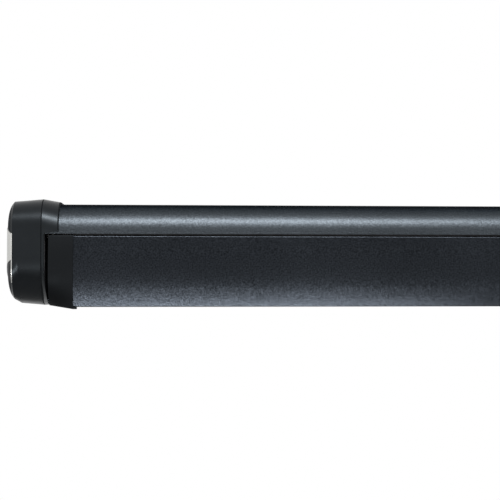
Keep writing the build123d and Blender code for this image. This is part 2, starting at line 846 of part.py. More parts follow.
with BuildPart() as elbow_strap:
    with BuildSketch(arm_plane(elbow_along, arm_pitch / 2, strap_height / 2)):
        with BuildLine():
            outer = CenterArc((0, 0), elbow_drum_radius + strap_thick, -90, strap_wrap)
            inner = CenterArc((0, 0), elbow_drum_radius, -90, strap_wrap)
            Line(outer @ 0, inner @ 0)
            Line(outer @ 1, inner @ 1)
        make_face()
    extrude(amount=strap_height)
    add(elbow_tongue.part, mode=Mode.SUBTRACT)
write(elbow_strap, "left_elbow_strap")
write_mirrored(elbow_strap, "right_elbow_strap")

spring_start = knuckle_reach + knuckle_plug
with BuildPart() as arm_spring:
    with BuildSketch(tube_plane(spring_start, 0)):
        Circle(spring_radius)
        Circle(spring_bore_radius, mode=Mode.SUBTRACT)
    extrude(amount=-spring_length)
    for end_plane in (tube_plane(spring_start, 0), tube_plane(spring_start + spring_length - arm_wall, 0)):
        with BuildSketch(end_plane):
            Circle(spring_radius)
        extrude(amount=-arm_wall)
    with BuildSketch(tube_plane(spring_start + spring_length, 0)):
        Circle(spring_rod_radius)
    extrude(amount=-(tube_end - knuckle_plug - spring_start - spring_length))
write(arm_spring, "left_arm_spring")
write_mirrored(arm_spring, "right_arm_spring")


def joint_bracket(out, face, base_low, base_high, rivet_height, side):
    """A pair of ears on a base plate: side is 1 where the plate lies behind the pin, -1 where in front of it."""
    with BuildPart() as bracket:
        for low in (-ear_end, ear_start):
            with BuildSketch(arm_plane(0, out, low + ear_thick)):
                with Locations((joint_base_reach[0], 0)):
                    Rectangle(joint_base_reach[1] - joint_base_reach[0], joint_ear_radius + joint_base_thick * 2,
                              align=(Align.MIN, Align.MAX if side > 0 else Align.MIN))
                Circle(joint_ear_radius)
                with Locations((joint_base_reach[0], 0)):
                    Circle(joint_ear_radius, mode=Mode.SUBTRACT)
                Circle(arm_pin_radius, mode=Mode.SUBTRACT)
            extrude(amount=ear_thick)
        with BuildSketch(section(shoulder_x + joint_base_reach[0])):
            with Locations((face, 0)):
                Rectangle(cut_over, cut_over * 4, align=(Align.MAX if side > 0 else Align.MIN, Align.CENTER))
        extrude(amount=joint_base_reach[0] - joint_base_reach[1], mode=Mode.SUBTRACT)
        with BuildSketch(section(shoulder_x + joint_base_reach[0])):
            with Locations((face, base_low)):
                Rectangle(joint_base_thick, base_high - base_low,
                          align=(Align.MIN if side > 0 else Align.MAX, Align.MIN))
        extrude(amount=joint_base_reach[0] - joint_base_reach[1])
        for along, height in rivet_places:
            with BuildSketch(Plane(origin=at(shoulder_x + along, face, rivet_height + height), z_dir=(0, -side, 0))):
                Circle(rivet_radius)
            extrude(amount=joint_base_thick, mode=Mode.SUBTRACT)
    return bracket


def rivets(face, wall, rivet_height, side):
    """The rivets of a joint's bracket, through its base plate and the profile's wall."""
    with BuildPart() as body:
        for along, height in rivet_places:
            seat = at(shoulder_x + along, face, rivet_height + height)
            with BuildSketch(Plane(origin=seat, z_dir=(0, -side, 0))):
                Circle(rivet_radius)
            extrude(amount=joint_base_thick)
            with BuildSketch(Plane(origin=seat, z_dir=(0, side, 0))):
                Circle(rivet_radius)
            extrude(amount=wall)
            head = seat + Vector(0, -side * joint_base_thick, 0)
            with BuildSketch(Plane(origin=head, z_dir=(0, -side, 0))):
                Circle(rivet_head_radius)
            extrude(amount=rivet_head_thick, taper=20)
    return body


shoulder_face = bracket_thick + case_wall
shoulder_bracket = joint_bracket(0, shoulder_face, joint_base_low, joint_base_high, shoulder_rivet_height, 1)
write(both_sides(shoulder_bracket), "shoulder_brackets")
wrist_bracket = joint_bracket(arm_pitch, rail_web_depth, wrist_base_low, wrist_base_high, wrist_rivet_height, -1)
write(both_sides(wrist_bracket), "wrist_brackets")
shoulder_fasteners = both_sides(rivets(shoulder_face, case_wall, shoulder_rivet_height, 1), pin_through(0, 0))
write(shoulder_fasteners, "shoulder_fasteners")
wrist_fasteners = both_sides(rivets(rail_web_depth, rail_wall, wrist_rivet_height, -1), pin_through(0, arm_pitch))


# Lead rail

def rail_front(shift, low):
    """The rail's curved front panel, drawn in by shift, from its top corner down to a height."""
    ThreePointArc((rail_top_front - shift, rail_top - shift), (rail_mid_front - shift, rail_mid_height),
                  (rail_bottom_front - shift, low))


with BuildPart() as lead_rail:
    with BuildSketch(section(0)) as rail_section:
        with BuildLine():
            rail_front(0, -rail_skirt)
            Polyline((rail_bottom_front, -rail_skirt), (rail_web_depth, -rail_skirt), (rail_web_depth, rail_top),
                     (rail_top_front, rail_top))
        make_face()
        for corner, radius in (
            ((rail_top_front, rail_top), rail_top_radius),
            ((rail_bottom_front, -rail_skirt), rail_foot_radius),
        ):
            fillet(rail_section.vertices().sort_by_distance(corner)[0], radius)
        with BuildLine(mode=Mode.PRIVATE) as channel:
            rail_front(rail_wall, -rail_skirt)
            Polyline((rail_bottom_front - rail_wall, -rail_skirt), (rail_web_depth + rail_wall, -rail_skirt),
                     (rail_web_depth + rail_wall, rail_top - rail_wall),
                     (rail_top_front - rail_wall, rail_top - rail_wall))
        make_face(channel.line, mode=Mode.SUBTRACT)
        with Locations((rail_web_depth, rail_web_bottom)):
            Rectangle(rail_wall, rail_web_bottom + rail_skirt, align=(Align.MIN, Align.MAX), mode=Mode.SUBTRACT)
        with Locations((keder_depth, keder_height)):
            Circle(keder_groove_radius)
            Rectangle(rail_web_depth - keder_depth + rail_wall / 2, keder_groove_radius,
                      align=(Align.MIN, Align.CENTER))
            Circle(keder_bore_radius, mode=Mode.SUBTRACT)
            Rectangle(cut_over, keder_slot, align=(Align.MAX, Align.CENTER), mode=Mode.SUBTRACT)
        for port in rail_port_depths:
            with Locations((port, rail_port_height)):
                Circle(port_outer_radius)
                Circle(port_bore_radius, mode=Mode.SUBTRACT)
    extrude(amount=half_length - rail_inset, both=True)
    add(wrist_fasteners.part, mode=Mode.SUBTRACT)
write(lead_rail, "lead_rail_profile")

with BuildPart() as canopy_keder:
    with BuildSketch(section(0)):
        with Locations((keder_depth, keder_height)):
            Circle(keder_radius)
            Rectangle(keder_tail, canopy_thick * 2, align=(Align.MAX, Align.CENTER))
    extrude(amount=canopy_width / 2, both=True)
write(canopy_keder, "canopy_keder")

with BuildPart() as canopy:
    leaving = radians(pitch_angle)
    leave_depth = roller_depth - roll_radius * sin(leaving)
    leave_height = roller_height - roll_radius * cos(leaving)
    reach = (keder_depth - keder_tail - leave_depth) / cos(leaving) - moving_gap
    strip_plane = Plane(origin=at(0, leave_depth, leave_height), x_dir=arm_out, z_dir=(-1, 0, 0))
    with BuildSketch(strip_plane):
        Rectangle(reach, canopy_thick, align=(Align.MIN, Align.MAX))
    extrude(amount=canopy_width / 2, both=True)
write(canopy, "canopy")

rail_cap_start = -half_length + rail_inset
rail_cap_end = -half_length + rail_cap_inset
rail_cap_high = rail_top + rail_cap_proud
rail_cap_front = rail_mid_front + rail_cap_proud
rail_cap_low_start = -rail_cap_low


def rail_cap_face(x, toe, toe_end):
    """One end of the rail's cap: its toe goes from the rail's own section to the case cap's rounded foot."""
    with BuildSketch(section(x)) as face:
        with BuildLine():
            corner = (rail_top_front + rail_cap_proud, rail_cap_high - rail_cap_corner)
            middle = (rail_cap_front, rail_mid_height)
            Line((rail_web_depth, toe_end[1]), (rail_web_depth, rail_cap_high))
            Line((rail_web_depth, rail_cap_high), (corner[0] - rail_cap_corner, rail_cap_high))
            ThreePointArc(
                (corner[0] - rail_cap_corner, rail_cap_high),
                (corner[0] - rail_cap_corner * (1 - sqrt(0.5)), rail_cap_high - rail_cap_corner * (1 - sqrt(0.5))),
                corner,
            )
            ThreePointArc(corner, (rail_cap_front - rail_cap_proud / 2, (corner[1] + middle[1]) / 2), middle)
            ThreePointArc(middle, toe, toe_end)
            Line(toe_end, (rail_web_depth, toe_end[1]))
        make_face()
    return face.sketch


with BuildPart() as rail_cap:
    inner_face = rail_cap_face(
        rail_cap_start,
        (rail_cap_front - rail_cap_proud, rail_mid_height / 2 - rail_cap_low / 2),
        (rail_bottom_front + rail_cap_proud, rail_cap_low_start),
    )
    loft([inner_face, rail_cap_face(rail_cap_end, rail_cap_toe, rail_cap_toe_end)], ruled=True)
    with BuildSketch(section(rail_cap_start)):
        with Locations((rail_cap_lip[0], rail_cap_low_start)):
            Rectangle(rail_cap_lip[1] - rail_cap_lip[0], rail_cap_low, align=Align.MIN)
    extrude(amount=-rail_cap_lip_length)
    for port in rail_port_depths:
        with BuildSketch(section(rail_cap_start)):
            with Locations((port, rail_port_height)):
                Circle(port_bore_radius)
        extrude(amount=cut_over, mode=Mode.SUBTRACT)
        with BuildSketch(section(rail_cap_end + cap_screw_sink)):
            with Locations((port, rail_port_height)):
                Circle(cap_screw_head)
        extrude(amount=cut_over, mode=Mode.SUBTRACT)
write(rail_cap, "left_rail_end_cap")
write_mirrored(rail_cap, "right_rail_end_cap")

with BuildPart() as rail_fasteners:
    add(wrist_fasteners.part)
    for side in (-1, 1):
        for port in rail_port_depths:
            head = at(side * (half_length - rail_cap_inset - cap_screw_sink), port, rail_port_height)
            with BuildSketch(Plane(origin=head, z_dir=(side, 0, 0))):
                Circle(cap_screw_head - running_gap)
            extrude(amount=cap_screw_sink)
            with BuildSketch(Plane(origin=head, z_dir=(-side, 0, 0))):
                Circle(port_bore_radius)
            extrude(amount=cap_screw_length)
write(rail_fasteners, "rail_fasteners")


# Support legs. The left leg is drawn at its level; the right one is its mirror image, one level higher.

leg_pivot_x = -half_length + leg_pivot_inset
leg_start_x = leg_pivot_x + leg_tube_start


def leg_section(x, height):
    """A plane across a leg, centred on it: local x is depth, local y height."""
    return Plane(origin=at(x, leg_depth, height), x_dir=(0, -1, 0), z_dir=(-1, 0, 0))


def leg_side(height, x=leg_pivot_x):
    """A plane along a leg, facing out from the wall, centred on its pivot."""
    return Plane(origin=at(x, leg_depth, height), x_dir=(1, 0, 0), z_dir=(0, -1, 0))


def write_leg(build, name):
    """Writes a piece of both legs: build(height) draws the left one at a height."""
    write(build(leg_low_level), f"left_{name}")
    with BuildPart() as twin:
        mirror(build(leg_low_level + leg_level_pitch).part, about=Plane.YZ)
    write(twin, f"right_{name}")


def leg_outer_tube(height):
    with BuildPart() as tube:
        with BuildSketch(leg_section(leg_start_x, height)):
            RectangleRounded(leg_width, leg_height, leg_corner)
            RectangleRounded(leg_width - leg_wall * 2, leg_height - leg_wall * 2, leg_corner - leg_wall,
                             mode=Mode.SUBTRACT)
        extrude(amount=leg_start_x + leg_outer_end)
    return tube


inner_width = leg_width - leg_wall * 2 - leg_slide_gap * 2
inner_height = leg_height - leg_wall * 2 - leg_slide_gap * 2
inner_corner = leg_corner - leg_wall - leg_slide_gap


def leg_inner_tube(height):
    with BuildPart() as tube:
        with BuildSketch(leg_section(leg_pivot_x + leg_inner_start, height)):
            RectangleRounded(inner_width, inner_height, inner_corner)
            RectangleRounded(inner_width - leg_inner_wall * 2, inner_height - leg_inner_wall * 2,
                             inner_corner - leg_inner_wall, mode=Mode.SUBTRACT)
        extrude(amount=leg_pivot_x + leg_inner_start + leg_inner_end)
    return tube


def leg_eye(height):
    with BuildPart() as eye:
        with BuildSketch(leg_side(height)):
            Circle(leg_eye_radius)
            Rectangle(leg_tube_start, leg_eye_radius * 2, align=(Align.MIN, Align.CENTER))
            Circle(leg_pin_radius + running_gap, mode=Mode.SUBTRACT)
        extrude(amount=leg_width / 2, both=True)
        with BuildSketch(leg_section(leg_start_x, height)):
            RectangleRounded(leg_width - leg_wall * 2, leg_height - leg_wall * 2, leg_corner - leg_wall)
        extrude(amount=-leg_tube_start)
    return eye


def leg_foot(height):
    foot_length = leg_inner_end - foot_end
    with BuildPart() as foot:
        with BuildSketch(leg_section(-leg_inner_end, height)):
            RectangleRounded(leg_width, leg_height, leg_corner)
        with BuildSketch(leg_section(-foot_end - foot_length * foot_taper_share, height)):
            RectangleRounded(leg_width, leg_height, leg_corner)
        loft(ruled=True)
        with BuildSketch(leg_section(-foot_end - foot_length * foot_taper_share, height)):
            RectangleRounded(leg_width, leg_height, leg_corner)
        with BuildSketch(leg_section(-foot_end, height)):
            RectangleRounded(leg_width * foot_tip_share, leg_height * foot_tip_share, leg_corner * foot_tip_share)
        loft(ruled=True)
        with BuildSketch(leg_section(-leg_inner_end, height)):
            RectangleRounded(inner_width - leg_inner_wall * 2, inner_height - leg_inner_wall * 2,
                             inner_corner - leg_inner_wall)
        extrude(amount=foot_length)
    return foot


collar_start = -leg_outer_end - collar_overlap
collar_finish = collar_start + collar_length
lever_hinge_x = collar_start + lever_hinge_inset
lever_axis_drop = collar_height / 2 - lever_barrel_radius


def leg_collar(height):
    with BuildPart() as collar:
        with BuildSketch(leg_section(collar_start, height)):
            RectangleRounded(collar_width, collar_height, leg_corner)
        extrude(amount=-collar_length)
        with BuildSketch(leg_section(collar_start, height)):
            RectangleRounded(leg_width, leg_height, leg_corner)
        extrude(amount=-collar_overlap, mode=Mode.SUBTRACT)
        with BuildSketch(leg_section(collar_start, height)):
            RectangleRounded(inner_width + moving_gap * 2, inner_height + moving_gap * 2, inner_corner + moving_gap)
        extrude(amount=-collar_length, mode=Mode.SUBTRACT)
        slot_start = lever_hinge_x - lever_barrel_radius - moving_gap
        with BuildSketch(leg_section(slot_start, height)):
            with Locations((0, -leg_height / 2)):
                Rectangle(lever_width + moving_gap * 2, cut_over, align=(Align.CENTER, Align.MAX))
        extrude(amount=-cut_over, mode=Mode.SUBTRACT)
        with BuildSketch(leg_side(height - lever_axis_drop, lever_hinge_x)):
            Circle(lever_pin_radius + fit_gap)
        extrude(amount=collar_width, both=True, mode=Mode.SUBTRACT)
    return collar


def leg_lever(height):
    with BuildPart() as lever:
        with BuildSketch(leg_side(height - lever_axis_drop, lever_hinge_x)):
            Circle(lever_barrel_radius)
            with Locations((0, -lever_barrel_radius)):
                Rectangle(lever_length, lever_thick, align=Align.MIN)
            with Locations((lever_length, -lever_barrel_radius)):
                Circle(lever_thick / 2, align=(Align.CENTER, Align.MIN))
        extrude(amount=lever_width / 2, both=True)
        with BuildSketch(leg_side(height - lever_axis_drop, lever_hinge_x)):
            Circle(lever_pin_radius)
        extrude(amount=collar_width / 2, both=True)
    return lever


def leg_hanger(height):
    cheek_gap = leg_width / 2 + moving_gap
    back = leg_depth - rail_web_depth - rail_wall
    rise = leg_eye_radius + hanger_gap
    with BuildPart() as hanger:
        with BuildSketch(leg_section(leg_pivot_x + hanger_width / 2, height)):
            with Locations((-back, rise)):
                Rectangle(back + cheek_gap + hanger_thick, hanger_thick, align=Align.MIN)
            with Locations((-back, -hanger_drop)):
                Rectangle(hanger_thick, hanger_drop + rise, align=Align.MIN)
            with Locations((cheek_gap, -hanger_drop)):
                Rectangle(hanger_thick, hanger_drop + rise, align=Align.MIN)
        extrude(amount=hanger_width)
        with BuildSketch(leg_side(height)):
            Circle(leg_pin_radius)
        extrude(amount=cut_over, both=True, mode=Mode.SUBTRACT)
    return hanger


def leg_pin(height):
    with BuildPart() as pin:
        with BuildSketch(leg_side(height)):
            Circle(leg_pin_radius)
        extrude(amount=leg_width / 2 + moving_gap + hanger_thick)
        with BuildSketch(leg_side(height)):
            Circle(leg_pin_radius)
        extrude(amount=-(leg_depth - rail_web_depth - rail_wall))
    return pin


def leg_clips(height):
    back = leg_depth - rail_web_depth - rail_wall
    arm = leg_width / 2 + clip_gap
    rise = leg_height / 2 + clip_gap
    with BuildPart() as clips:
        for share in clip_places:
            start = leg_start_x + share * (-leg_outer_end - leg_start_x)
            with BuildSketch(leg_section(start, height)):
                with Locations((-back, rise)):
                    Rectangle(back + arm + clip_thick, clip_thick, align=Align.MIN)
                with Locations((-back, -leg_height / 2)):
                    Rectangle(clip_thick, leg_height / 2 + rise, align=Align.MIN)
                with Locations((arm, -leg_height / 2)):
                    Rectangle(clip_thick, leg_height / 2 + rise, align=Align.MIN)
            extrude(amount=-clip_width)
    return clips


write_leg(leg_outer_tube, "leg_outer_tube")
write_leg(leg_inner_tube, "leg_inner_tube")
write_leg(leg_eye, "leg_eye")
write_leg(leg_foot, "leg_foot")
write_leg(leg_collar, "leg_collar")
write_leg(leg_lever, "leg_lever")

with BuildPart() as leg_hangers:
    for height in (leg_low_level, leg_low_level + leg_level_pitch):
        for piece in (leg_hanger(height), leg_pin(height)):
            if height == leg_low_level:
                add(piece.part)
            else:
                mirror(piece.part, about=Plane.YZ)
write(leg_hangers, "leg_hangers")

with BuildPart() as all_clips:
    add(leg_clips(leg_low_level).part)
    mirror(leg_clips(leg_low_level + leg_level_pitch).part, about=Plane.YZ)
write(all_clips, "leg_clips")


# Wall brackets and their clamp screws

clamp_spread = bracket_width / 2 - bolt_sink_radius * 3


def wall_bracket(x):
    """A bracket screwed to the vehicle's wall: the case hooks over its top and is clamped on its foot."""
    with BuildPart() as bracket:
        foot_low = case_bottom - bracket_foot_thick
        with BuildSketch(section(x + bracket_width / 2)):
            with Locations((0, foot_low)):
                Rectangle(bracket_thick, bracket_top - foot_low, align=Align.MIN)
                Rectangle(bracket_foot_length, bracket_foot_thick, align=Align.MIN)
            hook_top = hook_pocket_low + case_wall + hook_slot_height
            with Locations((0, hook_top - hook_thick)):
                Rectangle(shoulder_face + hook_gap + hook_thick, hook_thick, align=Align.MIN)
            with Locations((shoulder_face + hook_gap, hook_top - hook_thick)):
                Rectangle(hook_thick, bracket_top - hook_top + hook_thick, align=Align.MIN)
        extrude(amount=bracket_width)
        for side_x in (-1, 1):
            for side_z in (-1, 1):
                hole = at(x + side_x * bolt_spacing_x / 2, 0, bolt_centre_height + side_z * bolt_spacing_z / 2)
                with BuildSketch(Plane(origin=hole, z_dir=(0, -1, 0))):
                    Circle(bolt_hole_radius)
                extrude(amount=bracket_thick, mode=Mode.SUBTRACT)
                sink_depth = bolt_sink_radius - bolt_hole_radius
                with BuildSketch(Plane(origin=hole + Vector(0, -bracket_thick, 0), z_dir=(0, 1, 0))):
                    Circle(bolt_sink_radius)
                extrude(amount=sink_depth, taper=sink_angle, mode=Mode.SUBTRACT)
        for side_x in (-1, 1):
            hole = at(x + side_x * clamp_spread, clamp_screw_depth, foot_low)
            with BuildSketch(Plane(origin=hole, z_dir=(0, 0, 1))):
                Circle(clamp_screw_radius)
            extrude(amount=bracket_foot_thick, mode=Mode.SUBTRACT)
    return bracket


bracket_places = (-bracket_spacing, 0, bracket_spacing)
with BuildPart() as wall_brackets:
    for x in bracket_places:
        add(wall_bracket(x).part)
write(wall_brackets, "wall_brackets")

with BuildPart() as clamp_screws:
    for x in bracket_places:
        for side_x in (-1, 1):
            head = at(x + side_x * clamp_spread, clamp_screw_depth, case_bottom - bracket_foot_thick)
            with BuildSketch(Plane(origin=head, z_dir=(0, 0, 1))):
                Circle(clamp_screw_radius)
            extrude(amount=clamp_screw_length)
            with BuildSketch(Plane(origin=head, z_dir=(0, 0, -1))):
                Circle(clamp_head_radius)
            extrude(amount=clamp_head_radius / 2)
with BuildPart() as case_screws:
    add(clamp_screws.part)
    add(plate_screws.part)
write(case_screws, "case_screws")

with BuildPart() as bored_case:
    add(case_profile.part)
    add(clamp_screws.part, mode=Mode.SUBTRACT)
    add(shoulder_fasteners.part, mode=Mode.SUBTRACT)
write(bored_case, "case_profile")
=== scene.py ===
"""Roll out awning, shut against the wall: materials, cloth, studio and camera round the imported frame.

Metres throughout. +X along the awning, -Y out from the wall, +Z up.
"""

import json
from math import atan, cos, pi, radians, sin

import bpy
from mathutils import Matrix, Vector


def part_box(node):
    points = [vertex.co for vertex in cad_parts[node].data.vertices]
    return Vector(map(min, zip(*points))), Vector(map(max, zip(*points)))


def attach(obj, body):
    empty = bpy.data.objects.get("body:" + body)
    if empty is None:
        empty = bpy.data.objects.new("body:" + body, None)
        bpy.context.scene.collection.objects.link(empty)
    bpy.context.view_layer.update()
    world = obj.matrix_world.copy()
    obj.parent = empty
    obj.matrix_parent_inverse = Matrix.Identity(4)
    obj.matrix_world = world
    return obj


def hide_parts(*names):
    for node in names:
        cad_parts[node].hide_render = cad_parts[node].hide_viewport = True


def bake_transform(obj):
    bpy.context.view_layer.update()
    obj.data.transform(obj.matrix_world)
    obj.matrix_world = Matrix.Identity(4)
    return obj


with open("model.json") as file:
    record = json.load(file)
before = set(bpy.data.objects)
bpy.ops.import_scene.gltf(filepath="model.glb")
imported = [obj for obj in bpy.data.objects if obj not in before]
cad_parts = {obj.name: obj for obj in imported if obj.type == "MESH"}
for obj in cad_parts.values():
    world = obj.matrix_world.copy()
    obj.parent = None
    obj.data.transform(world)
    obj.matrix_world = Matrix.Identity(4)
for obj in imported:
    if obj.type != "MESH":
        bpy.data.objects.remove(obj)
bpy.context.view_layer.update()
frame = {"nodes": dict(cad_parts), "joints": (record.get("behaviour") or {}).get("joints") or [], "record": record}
nodes = frame["nodes"]
joints = {joint["name"]: joint for joint in frame["joints"]}

# The photograph's frame and what it shows of the awning's left end
image_size = 500
perpendicular_x = 168  # pixel column that the camera faces squarely
horizon_y = 280
focal_pixels = 1181
camera_distance = 1.338  # from the awning's front face
camera_x = -1.1173
horizon_height = 0.0304  # above the lead rail's bottom edge
sensor_width = 36.0

# Where the mouldings at the awning's ends change finish or carry painted shade, mostly as distances from the end
half_length = 1.3
painted_shade_face = 0.006  # painted shade: a cap's outer face is darkened and made matt up to here
cap_painted_shade_bands = ((0.0398, 0.0410), (0.0584, 0.0600))  # painted shade: black, matt bands over the ridge's groove and at the collar's free edge
crescent_tail = 0.0069  # the tail's outer side
crescent_direction, crescent_edge = (0, 0.4268, 0.9043), -0.0448  # the plane of the crescent's lower edge

# Colours
anthracite = (0.03795, 0.04370, 0.04945)
# The lead rail's front: the case's paint in a darker copy, painted shade
shaded_front_anthracite = (0.01800, 0.02070, 0.02475)
arm_anthracite = (0.036, 0.040, 0.046)
charcoal = (0.0036, 0.0040, 0.0046)
cap_charcoal = (0.00252, 0.00280, 0.00322)
undercoat = (0.22, 0.22, 0.23)
dark_edge = (0.12, 0.14, 0.16)  # tint of what the coats reflect at a grazing angle
pale_edge = (0.9, 0.9, 0.9)
cool_edge = (0.80, 0.91, 1.0)

threads_per_metre = 1100
wave_phase = 20  # radians in Blender's wave texture for each unit of its scale
along_x, along_z = (0.02, 1, 1), (1, 1, 0.02)
coiled = (1, 0.05, 0.05)
unstretched = (1, 1, 1)


# Materials

class Tree:
    """A node tree, built a node at a time."""

    def __init__(self, tree):
        self.tree = tree

    def add(self, kind, **values):
        node = self.tree.nodes.new(kind)
        for key, value in values.items():
            if key in node.inputs:
                node.inputs[key].default_value = value
            else:
                setattr(node, key, value)
        return node

    def feed(self, socket, value):
        """Link a socket to an output, or set it to a colour or a number."""
        if hasattr(value, "is_output"):
            self.tree.links.new(value, socket)
        elif hasattr(value, "__len__"):
            socket.default_value = (*value, 1)
        else:
            socket.default_value = value

    def math(self, operation, *sources):
        node = self.add("ShaderNodeMath", operation=operation)
        for socket, source in zip(node.inputs, sources):
            self.feed(socket, source)
        return node.outputs["Value"]


class Finish(Tree):
    """A material's node tree."""

    def __init__(self, name):
        self.material = bpy.data.materials.new(name)
        self.material.use_nodes = True
        super().__init__(self.material.node_tree)
        self.shader = self.tree.nodes["Principled BSDF"]
        self.coords = self.add("ShaderNodeTexCoord")

    def set(self, **values):
        for key, value in values.items():
            self.feed(self.shader.inputs[key.replace("_", " ")], value)

    def noise(self, scale, detail, stretch=unstretched):
        mapping = self.add("ShaderNodeMapping", Scale=stretch)
        self.feed(mapping.inputs["Vector"], self.coords.outputs["Object"])
        texture = self.add("ShaderNodeTexNoise", Scale=scale, Detail=detail)
        self.feed(texture.inputs["Vector"], mapping.outputs["Vector"])
        return texture.outputs["Fac"]

    def ramp(self, source, *stops):
        """Colours or numbers along a source, from (place, value) stops."""
        ramp = self.add("ShaderNodeValToRGB")
        for element, (place, value) in zip(ramp.color_ramp.elements, stops):
            element.position = place
            element.color = (*value, 1) if hasattr(value, "__len__") else (value, value, value, 1)
        self.feed(ramp.inputs["Fac"], source)
        return ramp.outputs["Color"]

    def spread(self, source, low, high):
        """From one colour or number to another along a noise."""
        return self.ramp(source, (0.3, low), (0.7, high))

    def around(self, source, value, by):
        """A number, lower and higher by an amount along a noise."""
        return self.spread(source, value - by, value + by)

    def mottled(self, source, colour, share):
        """A colour, darker and paler by a share along a noise."""
        return self.spread(source, scaled(colour, 1 - share), scaled(colour, 1 + share))

    def mix(self, factor, first, second, blend="MIX"):
        mix = self.add("ShaderNodeMix", data_type="RGBA", blend_type=blend)
        for socket, value in ((mix.inputs[0], factor), (mix.inputs[6], first), (mix.inputs[7], second)):
            self.feed(socket, value)
        return mix.outputs[2]

    def vector(self, operation, first, second):
        """A vector sum, product or the like. A plain number as the second is a scale."""
        node = self.add("ShaderNodeVectorMath", operation=operation)
        self.feed(node.inputs[0], first)
        if hasattr(second, "is_output"):
            self.feed(node.inputs[1], second)
        elif hasattr(second, "__len__"):
            node.inputs[1].default_value = second
        else:
            node.inputs["Scale"].default_value = second
        return node.outputs["Value" if operation == "DOT_PRODUCT" else "Vector"]

    def place(self):
        """The point in the awning's frame, with x counted outwards from its middle."""
        parts = self.add("ShaderNodeSeparateXYZ")
        self.feed(parts.inputs["Vector"], self.coords.outputs["Object"])
        joined = self.add("ShaderNodeCombineXYZ")
        self.feed(joined.inputs["X"], self.math("ABSOLUTE", parts.outputs["X"]))
        self.feed(joined.inputs["Y"], parts.outputs["Y"])
        self.feed(joined.inputs["Z"], parts.outputs["Z"])
        return joined.outputs["Vector"]

    def beyond(self, direction, distance, soft=0.0001):
        """1 beyond a plane, given by its direction and how far along it lies, and 0 before it."""
        step = self.add("ShaderNodeMapRange", **{"From Min": distance - soft, "From Max": distance + soft})
        self.feed(step.inputs["Value"], self.vector("DOT_PRODUCT", self.place(), direction))
        return step.outputs["Result"]

    def nearer(self, distance):
        """1 nearer to either of the awning's ends than a distance."""
        return self.beyond((1, 0, 0), half_length - distance)

    def further(self, distance):
        """1 further from both of the awning's ends than a distance."""
        return self.beyond((-1, 0, 0), distance - half_length)

    def rounding(self, radius=0.0004):
        """Hard edges rounded in the shading."""
        return self.add("ShaderNodeBevel", samples=6, Radius=radius).outputs["Normal"]

    def worn(self, rounded):
        """1 along hard edges and 0 elsewhere, broken up as rubbing does it."""
        true_normal = self.add("ShaderNodeNewGeometry").outputs["Normal"]
        edge = self.ramp(self.vector("DOT_PRODUCT", rounded, true_normal), (0.90, 1.0), (0.985, 0.0))
        return self.mix(1.0, edge, self.ramp(self.noise(180, 4), (0.45, 0.0), (0.70, 1.0)), "MULTIPLY")

    def bump(self, height, strength, distance, rounded=None):
        bump = self.add("ShaderNodeBump", Strength=strength, Distance=distance)
        self.feed(bump.inputs["Height"], height)
        if rounded:
            self.feed(bump.inputs["Normal"], rounded)
        return bump.outputs["Normal"]

    def flakes(self, scale, tilt, normal):
        """Metal flakes in the paint, each turned its own way."""
        cells = self.add("ShaderNodeTexVoronoi", Scale=scale)
        self.feed(cells.inputs["Vector"], self.coords.outputs["Object"])
        turned = self.vector("SCALE", self.vector("SUBTRACT", cells.outputs["Color"], (0.5, 0.5, 0.5)), tilt)
        return self.vector("NORMALIZE", self.vector("ADD", normal, turned), (0, 0, 0))


def scaled(colour, share):
    return tuple(min(1, c * share) for c in colour)


def powder_coat(name, colour, roughness, speckle, tilt=0.16):
    """Metallic powder coat: slow mottling, flakes each turned its own way, and edges rubbed paler."""
    m = Finish(name)
    rounded = m.rounding()
    grain = m.ramp(m.noise(620, 2), (0.25, 1 - speckle), (0.75, 1 + speckle))
    paint = m.mix(1.0, m.mottled(m.noise(9, 4), colour, 0.10), grain, "MULTIPLY")
    m.set(
        Base_Color=m.mix(m.worn(rounded), paint, scaled(colour, 2.5)),
        Roughness=m.around(m.noise(300, 3), roughness, 0.02),
        Metallic=1.0,
        Specular_Tint=dark_edge,
        Normal=m.flakes(1000, tilt, m.bump(m.noise(800, 2), 0.08, 0.0002, rounded)),
    )
    return m.material


def painted_plastic(name, colour, roughness, specular):
    """The caps' mouldings: smoother than the coat, with painted shade darkening the outer face and the seams."""
    m = Finish(name)
    rounded = m.rounding()
    paint = m.mix(m.worn(rounded), m.mottled(m.noise(30, 5), colour, 0.15), scaled(colour, 2.0))
    gloss = m.around(m.noise(110, 4), roughness, 0.03)
    # Painted shade: the cap's outer face darkened to a quarter and made matt
    shaded_face = m.nearer(painted_shade_face)
    paint = m.mix(shaded_face, paint, m.mix(1.0, paint, (0.25, 0.25, 0.25), "MULTIPLY"))
    gloss = m.mix(shaded_face, gloss, m.spread(m.noise(110, 4), 0.75, 0.90))
    # Painted shade: black, matt bands where the groove and the gap at the collar's end fall in shadow
    for nearest, furthest in cap_painted_shade_bands:
        shade_band = m.mix(1.0, m.further(nearest), m.nearer(furthest), "MULTIPLY")
        paint = m.mix(shade_band, paint, (0, 0, 0))
        gloss = m.mix(shade_band, gloss, (1, 1, 1))
    m.set(
        Base_Color=paint,
        Roughness=gloss,
        Specular_IOR_Level=specular,
        Specular_Tint=cool_edge,
        Normal=m.bump(m.noise(900, 2), 0.10, 0.0002, rounded),
    )
    return m.material


def moulded(name, colour, roughness, specular=0.2, grain_scale=1600, share=0.08, rubbed=1.6):
    """Moulded plastic with a fine spark-eroded grain, polished a little where edges rub."""
    m = Finish(name)
    rounded = m.rounding()
    m.set(
        Base_Color=m.mix(m.worn(rounded), m.mottled(m.noise(14, 4), colour, share), scaled(colour, rubbed)),
        Roughness=m.spread(m.noise(40, 3), roughness - 0.04, roughness + 0.05),
        Specular_IOR_Level=specular,
        Specular_Tint=cool_edge,
        Normal=m.bump(m.noise(grain_scale, 2), 0.16, 0.0003, rounded),
    )
    return m.material


